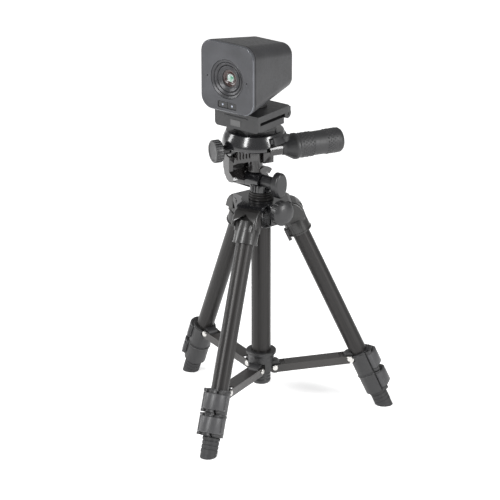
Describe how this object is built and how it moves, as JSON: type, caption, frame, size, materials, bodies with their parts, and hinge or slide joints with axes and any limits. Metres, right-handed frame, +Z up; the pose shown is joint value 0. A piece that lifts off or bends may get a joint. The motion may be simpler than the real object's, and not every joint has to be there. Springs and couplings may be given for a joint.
{
  "type": "webcam on tripod",
  "caption": "Box-shaped webcam on a folding clip, held by a pan, tilt and flip head on a small tripod with flip-lock telescoping legs, a brace and a rising column.",
  "frame": {"origin": "on the ground, at the centre of the bounding box seen from above", "axes": "+Z up, the webcam faces -Y, +X to the right of someone who looks along +Y"},
  "size_m": [0.213, 0.209, 0.367],
  "materials": {
    "shell_plastic": "fine satin texture",
    "front_satin": "satin",
    "lens_black": "gloss",
    "lens_glass": "polished, coated",
    "board_green": "solder mask",
    "nickel": "bright",
    "key_plastic": "satin",
    "clip_plastic": "satin",
    "pad_rubber": "matte",
    "brass_insert": "machined",
    "gloss_black": "gloss",
    "knob_plastic": "satin",
    "arm_grey": "satin",
    "tube_black": "black satin anodised",
    "collar_plastic": "satin",
    "lever_plastic": "satin",
    "foot_rubber": "matte",
    "brace_paint": "satin",
    "rivet_steel": "bright",
    "grip_rubber": "matte"
  },
  "bodies": {
    "shoulder": {"shoulder": "gloss_black"},
    "column_knob": {"column_knob": "knob_plastic"},
    "column": {"centre_column": "tube_black", "column_end_plug": "collar_plastic"},
    "pan_neck": {"pan_neck": "gloss_black"},
    "tilt_knob": {"tilt_knob": "knob_plastic"},
    "tilt_arm": {"tilt_arm": "arm_grey"},
    "handle": {"handle_rod": "nickel", "handle_grip": "grip_rubber"},
    "platform": {"head_platform": "gloss_black", "quick_plate": "collar_plastic", "quick_plate_screw": "nickel", "clip_arm": "clip_plastic", "clip_pads": "pad_rubber", "thread_insert": "brass_insert", "clip_hinge_pin": "nickel"},
    "flip_knob": {"flip_knob": "knob_plastic"},
    "release_lever": {"release_lever": "knob_plastic"},
    "clip_bracket": {"clip_bracket": "clip_plastic"},
    "webcam": {"webcam_shell": "shell_plastic", "webcam_front_plate": "front_satin", "lens_barrel": "lens_black", "lens_glass": "lens_glass", "circuit_boards": "board_green", "usb_socket": "nickel", "swivel_neck": "clip_plastic"},
    "key_left": {"key_left": "key_plastic"},
    "key_right": {"key_right": "key_plastic"},
    "hub": {"brace_hub": "collar_plastic", "hub_rivets": "rivet_steel"},
    "strut_front": {"brace_strut_front": "brace_paint"},
    "leg_front": {"leg_top_bracket_front": "gloss_black", "upper_tube_front": "tube_black", "upper_collar_front": "collar_plastic"},
    "upper_lever_front": {"upper_lever_front": "lever_plastic"},
    "middle_front": {"middle_tube_front": "tube_black", "lower_collar_front": "collar_plastic"},
    "lower_lever_front": {"lower_lever_front": "lever_plastic"},
    "lower_front": {"lower_tube_front": "tube_black", "rubber_foot_front": "foot_rubber"},
    "strut_right": {"brace_strut_right": "brace_paint"},
    "leg_right": {"leg_top_bracket_right": "gloss_black", "upper_tube_right": "tube_black", "upper_collar_right": "collar_plastic"},
    "upper_lever_right": {"upper_lever_right": "lever_plastic"},
    "middle_right": {"middle_tube_right": "tube_black", "lower_collar_right": "collar_plastic"},
    "lower_lever_right": {"lower_lever_right": "lever_plastic"},
    "lower_right": {"lower_tube_right": "tube_black", "rubber_foot_right": "foot_rubber"},
    "strut_left": {"brace_strut_left": "brace_paint"},
    "leg_left": {"leg_top_bracket_left": "gloss_black", "upper_tube_left": "tube_black", "upper_collar_left": "collar_plastic"},
    "upper_lever_left": {"upper_lever_left": "lever_plastic"},
    "middle_left": {"middle_tube_left": "tube_black", "lower_collar_left": "collar_plastic"},
    "lower_lever_left": {"lower_lever_left": "lever_plastic"},
    "lower_left": {"lower_tube_left": "tube_black", "rubber_foot_left": "foot_rubber"}
  },
  "joints": [
    {"name": "hub_slide", "type": "slide", "parent": "shoulder", "child": "hub", "axis": [0, 0, 1], "range_m": [0, 0.06467]},
    {"name": "column_slide", "type": "slide", "parent": "shoulder", "child": "column", "axis": [0, 0, 1], "range_m": [0, 0.12]},
    {"name": "column_knob_turn", "type": "hinge", "parent": "shoulder", "child": "column_knob", "pos_m": [0.0421, 0.00903, 0.204], "axis": [0.965, -0.2622, 0], "continuous": true},
    {"name": "pan", "type": "hinge", "parent": "column", "child": "pan_neck", "pos_m": [0.01315, 0.0169, 0.217], "axis": [0, 0, 1], "continuous": true},
    {"name": "tilt_knob_turn", "type": "hinge", "parent": "pan_neck", "child": "tilt_knob", "pos_m": [0.03313, 0.01603, 0.2265], "axis": [0.999, -0.0436, 0], "continuous": true},
    {"name": "tilt", "type": "hinge", "parent": "pan_neck", "child": "tilt_arm", "pos_m": [-0.00683, 0.01777, 0.2265], "axis": [0.999, -0.0436, 0], "range_deg": [-45, 25]},
    {"name": "flip", "type": "hinge", "parent": "tilt_arm", "child": "platform", "pos_m": [0.01035, 0.0115, 0.261], "axis": [0.4617, 0.887, 0], "range_deg": [0, 90]},
    {"name": "flip_knob_turn", "type": "hinge", "parent": "platform", "child": "flip_knob", "pos_m": [-0.0072, -0.02221, 0.261], "axis": [-0.4617, -0.887, 0], "continuous": true},
    {"name": "handle_turn", "type": "hinge", "parent": "tilt_arm", "child": "handle", "pos_m": [0.03805, 0.06472, 0.255], "axis": [0.4617, 0.887, 0], "continuous": true},
    {"name": "release_lever_pull", "type": "hinge", "parent": "platform", "child": "release_lever", "pos_m": [0.03129, 0.00624, 0.2715], "axis": [0, 0, -1], "range_deg": [0, 8], "stiffness_Nm_per_rad": 0.03},
    {"name": "clip_open", "type": "hinge", "parent": "platform", "child": "clip_bracket", "pos_m": [0.01035, 0.0309, 0.2912], "axis": [-1, 0, 0], "range_deg": [0, 90]},
    {"name": "webcam_swivel", "type": "hinge", "parent": "clip_bracket", "child": "webcam", "pos_m": [0.01035, 0.0115, 0.3], "axis": [0, 0, 1], "range_deg": [-170, 170]},
    {"name": "key_left_press", "type": "slide", "parent": "webcam", "child": "key_left", "axis": [0, 1, 0], "range_m": [0, 0.0004], "stiffness_N_per_m": 400},
    {"name": "key_right_press", "type": "slide", "parent": "webcam", "child": "key_right", "axis": [0, 1, 0], "range_m": [0, 0.0004], "stiffness_N_per_m": 400},
    {"name": "strut_hinge_front", "type": "hinge", "parent": "hub", "child": "strut_front", "pos_m": [0.01602, 0.00477, 0.0441], "axis": [0.9732, 0.23, 0], "range_deg": [0, 86.68]},
    {"name": "leg_hinge_front", "type": "hinge", "parent": "strut_front", "child": "leg_front", "pos_m": [0.03212, -0.06334, 0.05], "axis": [0.9732, 0.23, 0], "range_deg": [-65.22, 0]},
    {"name": "upper_lever_flip_front", "type": "hinge", "parent": "leg_front", "child": "upper_lever_front", "pos_m": [0.02835, -0.08566, 0.04787], "axis": [0.0953, -0.403, -0.9103], "range_deg": [0, 110]},
    {"name": "middle_slide_front", "type": "slide", "parent": "leg_front", "child": "middle_front", "axis": [0.0953, -0.403, -0.9103], "range_m": [0, 0.12]},
    {"name": "lower_lever_flip_front", "type": "hinge", "parent": "middle_front", "child": "lower_lever_front", "pos_m": [0.03035, -0.09412, 0.02876], "axis": [0.0953, -0.403, -0.9103], "range_deg": [0, 110]},
    {"name": "lower_slide_front", "type": "slide", "parent": "middle_front", "child": "lower_front", "axis": [0.0953, -0.403, -0.9103], "range_m": [0, 0.115]},
    {"name": "strut_hinge_right", "type": "hinge", "parent": "hub", "child": "strut_right", "pos_m": [0.02222, 0.02544, 0.0441], "axis": [-0.6858, 0.7278, 0], "range_deg": [0, 86.68]},
    {"name": "leg_hinge_right", "type": "hinge", "parent": "strut_right", "child": "leg_right", "pos_m": [0.07315, 0.07345, 0.05], "axis": [-0.6858, 0.7278, 0], "range_deg": [-65.22, 0]},
    {"name": "upper_lever_flip_right", "type": "hinge", "parent": "leg_right", "child": "upper_lever_right", "pos_m": [0.09437, 0.08134, 0.04787], "axis": [0.3013, 0.284, -0.9103], "range_deg": [0, 110]},
    {"name": "middle_slide_right", "type": "slide", "parent": "leg_right", "child": "middle_right", "axis": [0.3013, 0.284, -0.9103], "range_m": [0, 0.12]},
    {"name": "lower_lever_flip_right", "type": "hinge", "parent": "middle_right", "child": "lower_lever_right", "pos_m": [0.10069, 0.0873, 0.02876], "axis": [0.3013, 0.284, -0.9103], "range_deg": [0, 110]},
    {"name": "lower_slide_right", "type": "slide", "parent": "middle_right", "child": "lower_right", "axis": [0.3013, 0.284, -0.9103], "range_m": [0, 0.115]},
    {"name": "strut_hinge_left", "type": "hinge", "parent": "hub", "child": "strut_left", "pos_m": [0.00122, 0.02048, 0.0441], "axis": [-0.2874, -0.9578, 0], "range_deg": [0, 86.68]},
    {"name": "leg_hinge_left", "type": "hinge", "parent": "strut_left", "child": "leg_left", "pos_m": [-0.06582, 0.04059, 0.05], "axis": [-0.2874, -0.9578, 0], "range_deg": [-65.22, 0]},
    {"name": "upper_lever_flip_left", "type": "hinge", "parent": "leg_left", "child": "upper_lever_left", "pos_m": [-0.08327, 0.05501, 0.04787], "axis": [-0.3966, 0.119, -0.9103], "range_deg": [0, 110]},
    {"name": "middle_slide_left", "type": "slide", "parent": "leg_left", "child": "middle_left", "axis": [-0.3966, 0.119, -0.9103], "range_m": [0, 0.12]},
    {"name": "lower_lever_flip_left", "type": "hinge", "parent": "middle_left", "child": "lower_lever_left", "pos_m": [-0.09159, 0.05751, 0.02876], "axis": [-0.3966, 0.119, -0.9103], "range_deg": [0, 110]},
    {"name": "lower_slide_left", "type": "slide", "parent": "middle_left", "child": "lower_left", "axis": [-0.3966, 0.119, -0.9103], "range_m": [0, 0.115]}
  ],
  "couplings": [
    {"joint": "strut_hinge_front", "follows": "hub_slide", "rad_per_m": 23.386},
    {"joint": "leg_hinge_front", "follows": "hub_slide", "rad_per_m": -17.595},
    {"joint": "strut_hinge_right", "follows": "hub_slide", "rad_per_m": 23.386},
    {"joint": "leg_hinge_right", "follows": "hub_slide", "rad_per_m": -17.595},
    {"joint": "strut_hinge_left", "follows": "hub_slide", "rad_per_m": 23.386},
    {"joint": "leg_hinge_left", "follows": "hub_slide", "rad_per_m": -17.595}
  ]
}
